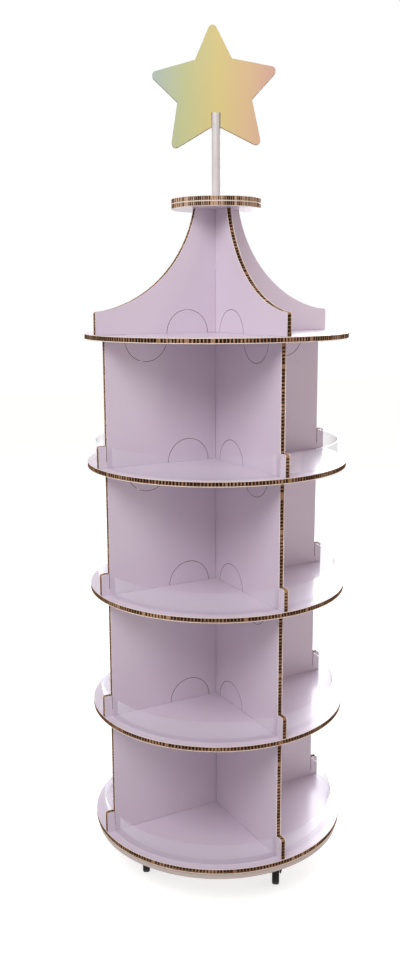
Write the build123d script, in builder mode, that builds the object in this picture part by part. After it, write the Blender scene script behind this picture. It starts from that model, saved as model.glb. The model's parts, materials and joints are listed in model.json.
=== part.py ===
from build123d import *
import math
import os

# A free-standing round display of four open tiers, slotted together from
# corrugated board. Every tier is a pair of dividers that cross at the middle.
# Curved tongues pass through slots in each shelf and meet the next tier's
# dividers edge to edge, so that nothing needs glue. The whole stands on a
# timber disc with four swivel castors.
#
# Millimetres. Z is up and the origin is on the floor under the pole.
# The dividers lie along X and Y.

# Board and the fit of one board in another
board = 10.0
fit = 0.25

# Discs
shelf_radius = 250.0
plinth_radius = 247.0
plinth_thickness = 12.0
castor_height = 70.0
tier_pitch = 242.0
tier_count = 4
cap_radius = 83.5
cap_board = 9.0
cap_height = 225.5        # underside of the cap above the top shelf

# Dividers
wing_radius = 233.0       # upright outer edge between shelves
finger_radius = 249.5     # outer edge of the low finger, flush with the shelf
finger_height = 41.0
finger_corner = 4.0
slit_width = 1.4          # cut that holds the clear lip between wing and finger
slit_floor = 12.0

# Jigsaw joint through a shelf
tongue_start = 22.0       # from the axis to the rising tongue
tongue_radius = 42.75
tongue_gap = 0.5
tongue_drop = 7.25        # centre of the hanging tongue below the shelf top

# Skirt under the cap
neck_radius = 46.2
skirt_foot = 232.0        # where the sweep runs out above the finger
skirt_mid = (109.0, 107.5)
tab_inner = 20.0
tab_outer = 40.0

# Clear lips
lip_radius = 233.3
lip_thickness = 0.8
lip_height = 40.0

# Pole and star
pole_radius = 8.0
pole_wall = 2.0
pole_top = 396.0          # above the top shelf
star_centre = 435.5       # above the top shelf
star_turn = -29.5         # the star faces between two dividers
star_lean = 1.7           # hung a little askew
star_shift = -3.0         # and a little to one side of the pole
star_corner = 8.0

# Castors
wheel_radius = 25.0
wheel_width = 14.0
axle_radius = 3.0
trail = 22.0
running = 0.05
plate_side = 40.0
plate_thickness = 2.0
swivel_gap = 0.3
crown_radius = 14.0
crown_thickness = 7.0
fork_inside = 16.6
fork_wall = 2.0
leg_end_radius = 5.0
castor_spots = {          # where each swivels, and the heading its wheel trails on
    "front_right": (38.0, -167.0, -123.3),
    "front_left": (-186.5, -45.8, 64.8),
    "back_left": (-38.0, 167.0, -140.0),
    "back_right": (186.5, 45.8, -60.0),
}

# Heights worked out from these
base_top = castor_height + plinth_thickness + board
shelf_tops = [base_top + tier_pitch * n for n in range(tier_count + 1)]
top_shelf = shelf_tops[-1]
cap_bottom = top_shelf + cap_height
tongue_far = tongue_start + 2 * tongue_radius
drop_start = tongue_far + tongue_gap
drop_centre = drop_start + tongue_radius
drop_end = drop_start + 2 * tongue_radius

os.makedirs("parts", exist_ok=True)


def save(piece, label):
    piece.part.label = label
    export_step(piece.part, f"parts/{label}.step")


def upright(axis):
    """The plane of a divider that lies along X or along Y."""
    return Plane.XZ if axis == "x" else Plane.YZ


def disc(radius, thickness, bottom):
    with BuildPart() as plain:
        with BuildSketch(Plane.XY.offset(bottom)):
            Circle(radius)
        extrude(amount=thickness)
    return plain


def slotted_shelf(top, slot_from, slot_to):
    """A board disc with one radial slot under each divider."""
    with BuildPart() as shelf:
        with BuildSketch(Plane.XY.offset(top - board)):
            Circle(shelf_radius)
            with PolarLocations((slot_from + slot_to) / 2, 4):
                Rectangle(slot_to - slot_from, board + 2 * fit, mode=Mode.SUBTRACT)
        extrude(amount=board)
    return shelf


def jigsaw_bottom(floor):
    """Lower edge of a divider from its middle out: a scoop, then a hanging tongue."""
    scoop = tongue_radius + tongue_gap
    Line((0, floor), (drop_start - 2 * scoop, floor))
    ThreePointArc(
        (drop_start - 2 * scoop, floor), (drop_start - scoop, floor + scoop), (drop_start, floor)
    )
    Line((drop_start, floor), (drop_start, floor - tongue_drop))
    ThreePointArc(
        (drop_start, floor - tongue_drop),
        (drop_centre, floor - tongue_drop - tongue_radius),
        (drop_end, floor - tongue_drop),
    )
    Polyline((drop_end, floor - tongue_drop), (drop_end, floor), (finger_radius, floor))


def tabbed_bottom(floor):
    """Lower edge of the lowest dividers: a square tab that fills the base disc."""
    Polyline(
        (0, floor),
        (drop_start, floor),
        (drop_start, floor - board),
        (drop_end, floor - board),
        (drop_end, floor),
        (finger_radius, floor),
    )


def jigsaw_top(under):
    """Upper edge of a divider from its middle out: a rising tongue, then a scoop."""
    above = under + board
    scoop = tongue_radius + tongue_gap
    scoop_centre = above - tongue_drop
    scoop_end = drop_centre + math.sqrt(scoop**2 - (scoop_centre - under) ** 2)
    Polyline((0, under), (tongue_start, under), (tongue_start, above))
    ThreePointArc(
        (tongue_start, above),
        (tongue_start + tongue_radius, above + tongue_radius),
        (tongue_far, above),
    )
    Line((tongue_far, above), (tongue_far, scoop_centre))
    ThreePointArc(
        (tongue_far, scoop_centre), (drop_centre, scoop_centre - scoop), (scoop_end, under)
    )
    Line((scoop_end, under), (wing_radius, under))


def finger_edge(floor):
    """Outer edge of a finger, with its corner clipped."""
    tip = floor + finger_height
    Polyline(
        (finger_radius, floor),
        (finger_radius, tip - finger_corner),
        (finger_radius - finger_corner, tip),
    )


def lip_slit(floor):
    """Top of a finger and the slit behind it, down to the floor of the slit."""
    tip = floor + finger_height
    Polyline(
        (finger_radius - finger_corner, tip),
        (wing_radius + slit_width, tip),
        (wing_radius + slit_width, floor + slit_floor),
        (wing_radius, floor + slit_floor),
    )


def divider(axis, floor, under, lowest):
    """A full-width divider, cross-lapped at its middle with the other one."""
    middle = (floor + under) / 2
    lap = (floor + middle) / 2 if axis == "x" else (under + middle) / 2
    with BuildPart() as panel:
        with BuildSketch(upright(axis)):
            with BuildLine():
                if lowest:
                    tabbed_bottom(floor)
                else:
                    jigsaw_bottom(floor)
                finger_edge(floor)
                lip_slit(floor)
                Line((wing_radius, floor + slit_floor), (wing_radius, under))
                jigsaw_top(under)
                mirror(about=Plane.YZ)
            make_face()
            with Locations((0, lap)):
                Rectangle(board + 2 * fit, middle - floor, mode=Mode.SUBTRACT)
        extrude(amount=board / 2, both=True)
    return panel


def skirt_panel(axis):
    """A concave gable on the top shelf that narrows to a neck under the cap."""
    floor = top_shelf
    finger_top = floor + finger_height
    lap = floor + cap_height * (1 / 4 if axis == "x" else 3 / 4)
    with BuildPart() as panel:
        with BuildSketch(upright(axis)):
            with BuildLine():
                jigsaw_bottom(floor)
                finger_edge(floor)
                Line((finger_radius - finger_corner, finger_top), (skirt_foot, finger_top + 1.5))
                ThreePointArc(
                    (skirt_foot, finger_top + 1.5),
                    (skirt_mid[0], floor + skirt_mid[1]),
                    (neck_radius, cap_bottom),
                )
                Polyline(
                    (neck_radius, cap_bottom),
                    (tab_outer, cap_bottom),
                    (tab_outer, cap_bottom + cap_board),
                    (tab_inner, cap_bottom + cap_board),
                    (tab_inner, cap_bottom),
                    (0, cap_bottom),
                )
                mirror(about=Plane.YZ)
            make_face()
            with Locations((0, lap)):
                Rectangle(board + 2 * fit, cap_height / 2, mode=Mode.SUBTRACT)
        extrude(amount=board / 2, both=True)
    return panel


def lip(floor):
    """A clear strip bent to a ring, notched where it drops over the dividers."""
    with BuildPart() as strip:
        with BuildSketch(Plane.XY.offset(floor)):
            Circle(lip_radius + lip_thickness)
            Circle(lip_radius, mode=Mode.SUBTRACT)
        extrude(amount=lip_height)
        with BuildSketch(Plane.XY.offset(floor)):
            with PolarLocations(lip_radius, 4):
                Rectangle(4 * lip_thickness, board + 4 * fit)
        extrude(amount=slit_floor + fit, mode=Mode.SUBTRACT)
        # The strip's two ends meet inside one divider's slit.
        with BuildSketch(Plane.XY.offset(floor)):
            with Locations((0, lip_radius)):
                Rectangle(tongue_gap, 4 * lip_thickness)
        extrude(amount=lip_height, mode=Mode.SUBTRACT)
    return strip


def star_board():
    """A rounded five-pointed board, hung by a slot that sits on the pole."""
    turn = math.radians(star_turn)
    face = Plane(
        origin=(0, 0, top_shelf + star_centre),
        x_dir=(math.cos(turn), math.sin(turn), 0),
        z_dir=(math.sin(turn), -math.cos(turn), 0),
    )
    half_outline = [
        (0, 121),
        (33.5, 52.5),
        (120, 33),
        (68, -19),
        (84.5, -105),
        (0, -60),
    ]
    hung = face * Location((star_shift, 0, 0), (0, 0, star_lean))
    slot_top = pole_top - star_centre
    slot_bottom = half_outline[-1][1] - board
    with BuildPart() as star:
        with BuildSketch(hung) as outline:
            with BuildLine():
                Polyline(*half_outline)
                mirror(about=Plane.YZ)
            make_face()
            tips = outline.vertices().filter_by(lambda v: Vector(v.X, v.Y, v.Z).length > 100)
            fillet(tips, star_corner)
        extrude(amount=board / 2, both=True)
        with BuildSketch(face):
            with Locations((0, (slot_top + slot_bottom) / 2)):
                Rectangle(2 * pole_radius + 0.2, slot_top - slot_bottom)
        extrude(amount=board / 2, both=True, mode=Mode.SUBTRACT)
    return star


def cap_disc(bottom, tab_slots):
    with BuildPart() as cap:
        with BuildSketch(Plane.XY.offset(bottom)):
            Circle(cap_radius)
            Circle(pole_radius + fit, mode=Mode.SUBTRACT)
            if tab_slots:
                with PolarLocations((tab_inner + tab_outer) / 2, 4):
                    Rectangle(
                        tab_outer - tab_inner + 2 * fit, board + 2 * fit, mode=Mode.SUBTRACT
                    )
        extrude(amount=cap_board)
    return cap


def tube(bottom, top):
    with BuildPart() as pole:
        with BuildSketch(Plane.XY.offset(bottom)):
            Circle(pole_radius)
            Circle(pole_radius - pole_wall, mode=Mode.SUBTRACT)
        extrude(amount=top - bottom)
    return pole


def swivel_frame(x, y, heading):
    """Floor plane under one castor, with its X pointing the way the wheel trails."""
    course = math.radians(heading)
    return Plane(origin=(x, y, 0), x_dir=(math.cos(course), math.sin(course), 0))


def wheel_plane(ground):
    """Upright plane through the swivel axis in which the wheel turns."""
    return Plane(origin=ground.origin, x_dir=ground.x_dir, z_dir=-ground.y_dir)


def level(ground, height):
    return Plane(
        origin=ground.origin + Vector(0, 0, height), x_dir=ground.x_dir, z_dir=ground.z_dir
    )


plate_bottom = castor_height - plate_thickness
crown_top = plate_bottom - swivel_gap
crown_bottom = crown_top - crown_thickness


def castor_plate(ground):
    """Square top plate with the kingpin that the fork turns on."""
    with BuildPart() as plate:
        with BuildSketch(level(ground, plate_bottom)):
            Rectangle(plate_side, plate_side)
        extrude(amount=plate_thickness)
        with BuildSketch(level(ground, crown_bottom - swivel_gap)):
            Circle(axle_radius)
        extrude(amount=crown_thickness + 2 * swivel_gap)
    return plate


def castor_fork(ground):
    """Round crown with a pair of tapering legs that reach down and back to the axle."""
    side = wheel_plane(ground)
    leg_reach = (fork_inside + fork_wall) / 2
    shoulder = crown_radius * 1.7
    with BuildPart() as fork:
        with BuildSketch(level(ground, crown_bottom)):
            Circle(crown_radius)
            Circle(axle_radius + running, mode=Mode.SUBTRACT)
        extrude(amount=crown_thickness)
        for reach in (-leg_reach, leg_reach):
            with BuildSketch(side.offset(reach)):
                with Locations((trail / 4, crown_bottom + crown_thickness / 4)):
                    Rectangle(shoulder, crown_thickness / 2)
                with Locations((trail, wheel_radius)):
                    Circle(leg_end_radius)
                make_hull()
            extrude(amount=fork_wall / 2, both=True)
    return fork


def castor_axle(ground):
    """A pin held between the two legs."""
    with BuildPart() as axle:
        with BuildSketch(wheel_plane(ground)):
            with Locations((trail, wheel_radius)):
                Circle(axle_radius)
        extrude(amount=fork_inside / 2, both=True)
    return axle


def castor_wheel(ground):
    with BuildPart() as wheel:
        with BuildSketch(wheel_plane(ground)):
            with Locations((trail, wheel_radius)):
                Circle(wheel_radius)
                Circle(axle_radius + running, mode=Mode.SUBTRACT)
        extrude(amount=wheel_width / 2, both=True)
    return wheel


# Timber disc under the base
save(disc(plinth_radius, plinth_thickness, castor_height), "timber_plinth")

# Board discs, from the base up
save(slotted_shelf(base_top, drop_start - fit, drop_end + fit), "base_disc")
for number, shelf_top in enumerate(shelf_tops[1:], start=1):
    save(slotted_shelf(shelf_top, tongue_start - fit, drop_end + fit), f"shelf_{number}")

# Crossed dividers of each tier, and the clear lip round its floor
for number, floor in enumerate(shelf_tops[:-1], start=1):
    under = floor + tier_pitch - board
    for axis in ("x", "y"):
        save(divider(axis, floor, under, number == 1), f"tier_{number}_divider_{axis}")
    save(lip(floor), f"tier_{number}_lip")

# Gable, cap, pole and star
for axis in ("x", "y"):
    save(skirt_panel(axis), f"skirt_panel_{axis}")
save(cap_disc(cap_bottom, True), "cap_lower_disc")
save(cap_disc(cap_bottom + cap_board, False), "cap_upper_disc")
save(tube(cap_bottom, top_shelf + pole_top), "sign_pole")
save(star_board(), "star_board")

# Four swivel castors
for place, spot in castor_spots.items():
    ground = swivel_frame(*spot)
    save(castor_plate(ground), f"castor_plate_{place}")
    save(castor_fork(ground), f"castor_fork_{place}")
    save(castor_axle(ground), f"castor_axle_{place}")
    save(castor_wheel(ground), f"castor_wheel_{place}")
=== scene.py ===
import json
import math
import random

import bmesh
import bpy
from mathutils import Matrix, Vector


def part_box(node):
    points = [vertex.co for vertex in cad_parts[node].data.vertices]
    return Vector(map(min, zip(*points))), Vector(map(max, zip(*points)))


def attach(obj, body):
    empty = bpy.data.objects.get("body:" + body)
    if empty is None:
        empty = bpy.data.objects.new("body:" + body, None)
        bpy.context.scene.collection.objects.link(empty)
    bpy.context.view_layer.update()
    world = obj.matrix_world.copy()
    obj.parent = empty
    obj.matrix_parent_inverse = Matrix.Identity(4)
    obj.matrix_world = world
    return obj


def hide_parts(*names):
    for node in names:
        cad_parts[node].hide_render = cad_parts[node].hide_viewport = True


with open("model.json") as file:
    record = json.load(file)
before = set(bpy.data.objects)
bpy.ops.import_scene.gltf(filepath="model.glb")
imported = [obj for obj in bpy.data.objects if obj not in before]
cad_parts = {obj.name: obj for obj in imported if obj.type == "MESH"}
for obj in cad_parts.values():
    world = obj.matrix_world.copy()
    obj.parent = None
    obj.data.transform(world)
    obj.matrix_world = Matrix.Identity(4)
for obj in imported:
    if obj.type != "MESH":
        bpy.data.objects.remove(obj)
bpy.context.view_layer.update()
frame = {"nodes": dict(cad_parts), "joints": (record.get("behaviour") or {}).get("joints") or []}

print("stage: frame loaded,", len(frame["nodes"]), "nodes")

scene = bpy.context.scene
mm = 0.001

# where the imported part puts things
tierCount = 4
shelfNodes = ["base_disc"] + [f"shelf_{n}" for n in range(1, tierCount + 1)]
shelfTops = [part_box(node)[1].z for node in shelfNodes]
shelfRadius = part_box("shelf_1")[1].x
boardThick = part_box("shelf_1")[1].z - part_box("shelf_1")[0].z
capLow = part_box("cap_lower_disc")
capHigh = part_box("cap_upper_disc")
castorPlaces = ["front_right", "front_left", "back_left", "back_right"]


# small helpers for shader nodes
def setInputs(tree, node, values):
    # another node's output is linked in, and anything else is written on the socket
    for key, value in values.items():
        if isinstance(value, bpy.types.NodeSocket):
            tree.links.new(value, node.inputs[key])
        else:
            node.inputs[key].default_value = value


def addNode(tree, kind, inputs=None, **settings):
    node = tree.nodes.new(kind)
    for key, value in settings.items():
        setattr(node, key, value)
    setInputs(tree, node, inputs or {})
    return node


def objectPlace(tree):
    return addNode(tree, "ShaderNodeTexCoord").outputs["Object"]


def noiseOf(tree, place, scale, detail, **others):
    inputs = {"Vector": place, "Scale": scale, "Detail": detail, **others}
    return addNode(tree, "ShaderNodeTexNoise", inputs).outputs["Fac"]


def mathOf(tree, operation, *values, **settings):
    return addNode(tree, "ShaderNodeMath", dict(enumerate(values)), operation=operation,
                   **settings).outputs[0]


def rangeOf(tree, value, fromRange=(0, 1), toRange=(0, 1), **settings):
    inputs = {"Value": value, "From Min": fromRange[0], "From Max": fromRange[1],
              "To Min": toRange[0], "To Max": toRange[1]}
    return addNode(tree, "ShaderNodeMapRange", inputs, **settings).outputs[0]


def mixOf(tree, factor, first, second):
    return addNode(tree, "ShaderNodeMix", {"Factor": factor, "A": first, "B": second},
                   data_type="RGBA").outputs["Result"]


def rampOf(tree, factor, stops):
    ramp = addNode(tree, "ShaderNodeValToRGB", {"Fac": factor})
    elements = ramp.color_ramp.elements
    while len(elements) < len(stops):
        elements.new(0.5)
    for element, (place, colour) in zip(elements, stops):
        element.position = place
        element.color = colour
    return ramp.outputs["Color"]


def srgb(red, green, blue):
    # takes the 0 to 255 values a screen shows, through the screen's own curve
    def linear(level):
        level /= 255
        return level / 12.92 if level <= 0.04045 else ((level + 0.055) / 1.055) ** 2.4
    return (linear(red), linear(green), linear(blue), 1)


def newGroup(name, inputs, outputs):
    tree = bpy.data.node_groups.new(name, "ShaderNodeTree")
    for label, kind, value in inputs:
        socket = tree.interface.new_socket(label, in_out="INPUT", socket_type=kind)
        socket.default_value = value
    for label, kind in outputs:
        tree.interface.new_socket(label, in_out="OUTPUT", socket_type=kind)
    return tree, tree.nodes.new("NodeGroupInput"), tree.nodes.new("NodeGroupOutput")


def newMaterial(name):
    material = bpy.data.materials.new(name)
    material.use_nodes = True
    tree = material.node_tree
    tree.nodes.clear()
    tree.nodes.new("ShaderNodeOutputMaterial")
    shader = tree.nodes.new("ShaderNodeBsdfPrincipled")
    showSurface(tree, shader.outputs["BSDF"])
    return material, tree, shader


def showSurface(tree, surface):
    tree.links.new(surface, tree.nodes["Material Output"].inputs["Surface"])


def bumpInto(tree, shader, height, strength, depth):
    bump = addNode(tree, "ShaderNodeBump", {"Strength": strength, "Distance": depth,
                                            "Height": height})
    setInputs(tree, shader, {"Normal": bump.outputs["Normal"]})


# shader groups shared by more than one finish
paperMake = {
    "cloudScale": 7.0,
    "cloudDetail": 3.0,
    "fibreDetail": 2.0,
    "fibreRoughness": 0.7,
    "shadeRange": (0.6, 1.4),
    "glossRange": (-0.02, 0.02),
}


def makePaperGroup():
    # clouded ink or pulp, with short fibres; puts out a colour, a height and a roughness
    tree, source, sink = newGroup("paperSurface", [
        ("Colour", "NodeSocketColor", (0.8, 0.8, 0.8, 1)),
        ("Shade", "NodeSocketColor", (0.7, 0.7, 0.7, 1)),
        ("Fibre Scale", "NodeSocketFloat", 900.0),
        ("Roughness", "NodeSocketFloat", 0.5),
    ], [("Colour", "NodeSocketColor"), ("Height", "NodeSocketFloat"),
        ("Roughness", "NodeSocketFloat")])
    place = objectPlace(tree)
    clouds = noiseOf(tree, place, paperMake["cloudScale"], paperMake["cloudDetail"])
    fibres = noiseOf(tree, place, source.outputs["Fibre Scale"], paperMake["fibreDetail"],
                     Roughness=paperMake["fibreRoughness"])
    spread = rangeOf(tree, mathOf(tree, "ADD", clouds, fibres), paperMake["shadeRange"],
                     interpolation_type="SMOOTHSTEP")
    gloss = rangeOf(tree, clouds, toRange=paperMake["glossRange"])
    setInputs(tree, sink, {
        "Colour": mixOf(tree, spread, source.outputs["Shade"], source.outputs["Colour"]),
        "Height": fibres,
        "Roughness": mathOf(tree, "ADD", source.outputs["Roughness"], gloss)})
    return tree


mouldedMake = {
    "patchScale": 70.0,
    "patchDetail": 5.0,
    "patchRange": (0.45, 0.75),
    "grainDetail": 1.0,
    "dulledByDust": 0.5,
    "bump": (0.3, 0.2 * mm),
}


def makeMouldedGroup():
    # the fine grain and the dust of moulded plastic, rubber and plated steel
    tree, source, sink = newGroup("mouldedGrain", [
        ("Colour", "NodeSocketColor", (0.1, 0.1, 0.1, 1)),
        ("Dust", "NodeSocketColor", (0.3, 0.3, 0.3, 1)),
        ("Dustiness", "NodeSocketFloat", 0.2),
        ("Grain Scale", "NodeSocketFloat", 1500.0),
    ], [("Colour", "NodeSocketColor"), ("Height", "NodeSocketFloat"),
        ("Mask", "NodeSocketFloat")])
    place = objectPlace(tree)
    patches = noiseOf(tree, place, mouldedMake["patchScale"], mouldedMake["patchDetail"])
    grain = noiseOf(tree, place, source.outputs["Grain Scale"], mouldedMake["grainDetail"])
    mask = rangeOf(tree, patches, mouldedMake["patchRange"])
    amount = mathOf(tree, "MULTIPLY", mask, source.outputs["Dustiness"])
    setInputs(tree, sink, {
        "Colour": mixOf(tree, amount, source.outputs["Colour"], source.outputs["Dust"]),
        "Height": grain,
        "Mask": amount})
    return tree


paperSurface = makePaperGroup()
mouldedGrain = makeMouldedGroup()


def paperInto(tree, shader, inputs):
    # colours the shader as paper and hands back the height of its fibres
    paper = addNode(tree, "ShaderNodeGroup", inputs, node_tree=paperSurface)
    setInputs(tree, shader, {"Base Color": paper.outputs["Colour"],
                             "Roughness": paper.outputs["Roughness"]})
    return paper.outputs["Height"]


# in every finish, bump is a strength and a depth
lilacLooks = {
    "paper": {"Colour": srgb(216, 203, 217), "Shade": srgb(212, 198, 213),
              "Fibre Scale": 1100.0, "Roughness": 0.3},
    "coat": {"Coat Weight": 0.25, "Coat Roughness": 0.12},
    "dimpleScale": 130.0,
    "dimpleShare": 0.6,
    "bump": (0.06, 0.3 * mm),
}


def makeLilacPrint():
    material, tree, shader = newMaterial("lilac_print")
    fibres = paperInto(tree, shader, lilacLooks["paper"])
    setInputs(tree, shader, lilacLooks["coat"])
    # the cells of the core show through the liner as very shallow dimples
    cells = addNode(tree, "ShaderNodeTexVoronoi", {
        "Vector": objectPlace(tree), "Scale": lilacLooks["dimpleScale"]}, feature="SMOOTH_F1")
    height = mathOf(tree, "MULTIPLY_ADD", cells.outputs["Distance"],
                    lilacLooks["dimpleShare"], fibres)
    bumpInto(tree, shader, height, *lilacLooks["bump"])
    return material


# each kraft has a colour and a shade
kraftLooks = {
    "core": (srgb(184, 146, 116), srgb(124, 88, 62)),
    # painted shade: the cell kraft is the core kraft darkened for the shade deep in the cells
    # and in the joints
    "cell": (srgb(104, 72, 48), srgb(58, 36, 20)),
    # painted light: the cap kraft is a lighter copy of the core kraft, for the light from above
    "cap": (srgb(222, 194, 168), srgb(160, 124, 98)),
    "fibreScale": 420.0,
    "roughness": 0.9,
    "specular": 0.2,
    "bump": (0.5, 0.4 * mm),
}


def makeKraft(name, colour, shade):
    # bare brown paper, pulpy and dull
    material, tree, shader = newMaterial(name)
    fibres = paperInto(tree, shader, {
        "Colour": colour, "Shade": shade, "Fibre Scale": kraftLooks["fibreScale"],
        "Roughness": kraftLooks["roughness"]})
    setInputs(tree, shader, {"Specular IOR Level": kraftLooks["specular"]})
    bumpInto(tree, shader, fibres, *kraftLooks["bump"])
    return material


rimLooks = {
    "paper": {"Colour": srgb(255, 242, 228), "Shade": srgb(244, 226, 208),
              "Fibre Scale": 600.0, "Roughness": 0.8},
    "bump": (0.4, 0.3 * mm),
}


def makeRawRim():
    # the cut edge of the liner, pale pulp with a little burr
    material, tree, shader = newMaterial("liner_rim")
    bumpInto(tree, shader, paperInto(tree, shader, rimLooks["paper"]), *rimLooks["bump"])
    return material


starLooks = {
    "sweep": [(0.0, srgb(164, 177, 166)), (0.24, srgb(183, 186, 134)),
              (0.52, srgb(208, 190, 122)), (0.76, srgb(212, 180, 136)),
              (1.0, srgb(206, 160, 149))],
    "halfWidth": 118 * mm,
    "turn": math.radians(-29.5),
    "driftScale": 6.0,
    "driftDetail": 2.0,
    "drift": 0.16,
    "fibreScale": 1100.0,
    "roughness": 0.35,
    "bump": (0.1, 0.3 * mm),
}


def makeStarPrint():
    # a pastel sweep from one side tip to the other, which drifts a little
    material, tree, shader = newMaterial("star_print")
    place = objectPlace(tree)
    turned = addNode(tree, "ShaderNodeVectorRotate", {
        "Vector": place, "Angle": -starLooks["turn"]}, rotation_type="Z_AXIS")
    parts = addNode(tree, "ShaderNodeSeparateXYZ", {"Vector": turned.outputs[0]})
    drift = noiseOf(tree, place, starLooks["driftScale"], starLooks["driftDetail"])
    across = rangeOf(tree, parts.outputs["X"], (-starLooks["halfWidth"], starLooks["halfWidth"]))
    wander = mathOf(tree, "MULTIPLY_ADD", drift, starLooks["drift"], across)
    centred = mathOf(tree, "SUBTRACT", wander, starLooks["drift"] / 2)
    sweep = rampOf(tree, centred, starLooks["sweep"])
    fibres = paperInto(tree, shader, {
        "Colour": sweep, "Shade": sweep, "Fibre Scale": starLooks["fibreScale"],
        "Roughness": starLooks["roughness"]})
    bumpInto(tree, shader, fibres, *starLooks["bump"])
    return material


timberLooks = {
    "stops": [(0.3, srgb(196, 181, 173)), (0.65, srgb(210, 197, 191))],
    "stretch": (6, 90, 500),
    "scale": 1.0,
    "detail": 4.0,
    "distortion": 0.4,
    "roughness": (0.6, 0.4),
    "bump": (0.25, 0.4 * mm),
}


def makePlinthPaint():
    # thin paint over plywood: the plies and grain still show faintly
    material, tree, shader = newMaterial("painted_timber")
    stretched = addNode(tree, "ShaderNodeMapping", {"Vector": objectPlace(tree),
                                                    "Scale": timberLooks["stretch"]})
    grain = noiseOf(tree, stretched.outputs[0], timberLooks["scale"], timberLooks["detail"],
                    Distortion=timberLooks["distortion"])
    setInputs(tree, shader, {
        "Base Color": rampOf(tree, grain, timberLooks["stops"]),
        "Roughness": rangeOf(tree, grain, toRange=timberLooks["roughness"])})
    bumpInto(tree, shader, grain, *timberLooks["bump"])
    return material


clearLooks = {
    "tint": (0.975, 0.98, 0.985, 1),
    "mirror": (0.96, 0.97, 1.0, 1),
    "rippleScale": 7.0,
    "rippleDetail": 0.0,
    "roughness": (0.04, 0.12),
    "bend": 1.5,
    "frontShare": 1.4,
    "bump": (0.05, 1 * mm),
}


def makeClearPlastic():
    # a thin sheet bends light too little to see, so it only lets through and mirrors
    material, tree, shader = newMaterial("clear_plastic")
    ripple = noiseOf(tree, objectPlace(tree), clearLooks["rippleScale"],
                     clearLooks["rippleDetail"])
    setInputs(tree, shader, {
        "Base Color": clearLooks["mirror"], "Metallic": 1.0,
        "Roughness": rangeOf(tree, ripple, toRange=clearLooks["roughness"])})
    bumpInto(tree, shader, ripple, *clearLooks["bump"])
    clear = addNode(tree, "ShaderNodeBsdfTransparent", {"Color": clearLooks["tint"]})
    # the wall behind mirrors as much again, so it is left clear and the front counts for both
    fresnel = addNode(tree, "ShaderNodeFresnel", {"IOR": clearLooks["bend"]})
    behind = addNode(tree, "ShaderNodeNewGeometry").outputs["Backfacing"]
    front = rangeOf(tree, behind, toRange=(clearLooks["frontShare"], 0))
    shine = mathOf(tree, "MULTIPLY", fresnel.outputs[0], front, use_clamp=True)
    mixed = addNode(tree, "ShaderNodeMixShader", {
        "Fac": shine, 1: clear.outputs["BSDF"], 2: shader.outputs["BSDF"]})
    showSurface(tree, mixed.outputs[0])
    return material


mouldedLooks = {
    "pole_plastic": {"colour": srgb(206, 200, 199), "dust": srgb(190, 184, 183),
                     "dustiness": 0.5, "roughness": 0.42},
    "castor_black": {"colour": srgb(24, 24, 25), "dust": srgb(80, 77, 73),
                     "dustiness": 0.35, "roughness": 0.38, "specular": 0.35},
    "castor_zinc": {"colour": srgb(172, 174, 178), "dust": srgb(120, 118, 116),
                    "dustiness": 0.5, "roughness": 0.32, "metallic": 1.0},
    "castor_rubber": {"colour": srgb(14, 14, 14), "dust": srgb(58, 56, 53),
                      "dustiness": 0.3, "roughness": 0.5, "specular": 0.2},
}


def makeMoulded(name, colour, dust, dustiness, roughness, metallic=0.0, specular=0.5):
    material, tree, shader = newMaterial(name)
    grain = addNode(tree, "ShaderNodeGroup", {
        "Colour": colour, "Dust": dust, "Dustiness": dustiness}, node_tree=mouldedGrain)
    rough = mathOf(tree, "MULTIPLY_ADD", grain.outputs["Mask"], mouldedMake["dulledByDust"],
                   roughness)
    setInputs(tree, shader, {
        "Base Color": grain.outputs["Colour"], "Roughness": rough, "Metallic": metallic,
        "Specular IOR Level": specular})
    bumpInto(tree, shader, grain.outputs["Height"], *mouldedMake["bump"])
    return material


lilacPrint = makeLilacPrint()
kraftCore = makeKraft("kraft_core", *kraftLooks["core"])
# painted shade for the cells and the joints
paintedShadeKraft = makeKraft("painted_shade_kraft", *kraftLooks["cell"])
# painted light for the cap's core
paintedLightCapKraft = makeKraft("painted_light_cap_kraft", *kraftLooks["cap"])
linerRim = makeRawRim()
starPrint = makeStarPrint()
paintedTimber = makePlinthPaint()
clearPlastic = makeClearPlastic()
polePlastic, castorBlack, castorSteel, castorRubber = [
    makeMoulded(name, **looks) for name, looks in mouldedLooks.items()]
print("stage: finishes made,", len(bpy.data.materials), "materials")


# outlines are drawn in a board's own plane as lists of (across, up)
def arcPoints(centre, radius, startAngle, endAngle, steps=28):
    points = []
    for n in range(steps + 1):
        angle = math.radians(startAngle + (endAngle - startAngle) * n / steps)
        points.append((centre[0] + radius * math.cos(angle),
                       centre[1] + radius * math.sin(angle)))
    return points


def arcThrough(first, middle, last, steps=40):
    # circle through three points, walked from the first to the last
    (ax, ay), (bx, by), (cx, cy) = first, middle, last
    twice = 2 * (ax * (by - cy) + bx * (cy - ay) + cx * (ay - by))
    ux = ((ax**2 + ay**2) * (by - cy) + (bx**2 + by**2) * (cy - ay)
          + (cx**2 + cy**2) * (ay - by)) / twice
    uy = ((ax**2 + ay**2) * (cx - bx) + (bx**2 + by**2) * (ax - cx)
          + (cx**2 + cy**2) * (bx - ax)) / twice
    radius = math.hypot(ax - ux, ay - uy)
    start = math.degrees(math.atan2(ay - uy, ax - ux))
    end = math.degrees(math.atan2(cy - uy, cx - ux))
    while end - start > 180:
        end -= 360
    while start - end > 180:
        end += 360
    return arcPoints((ux, uy), radius, start, end, steps)


def circleLoop(radius, steps):
    return arcPoints((0, 0), radius, 0, 360, steps)[:-1]


def radialSlots(inner, outer, width):
    loops = []
    for quarter in range(4):
        turn = Matrix.Rotation(math.radians(90 * quarter), 2)
        corners = [(inner, -width / 2), (outer, -width / 2), (outer, width / 2),
                   (inner, width / 2)]
        loops.append([tuple(turn @ Vector(corner)) for corner in corners])
    return loops


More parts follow.
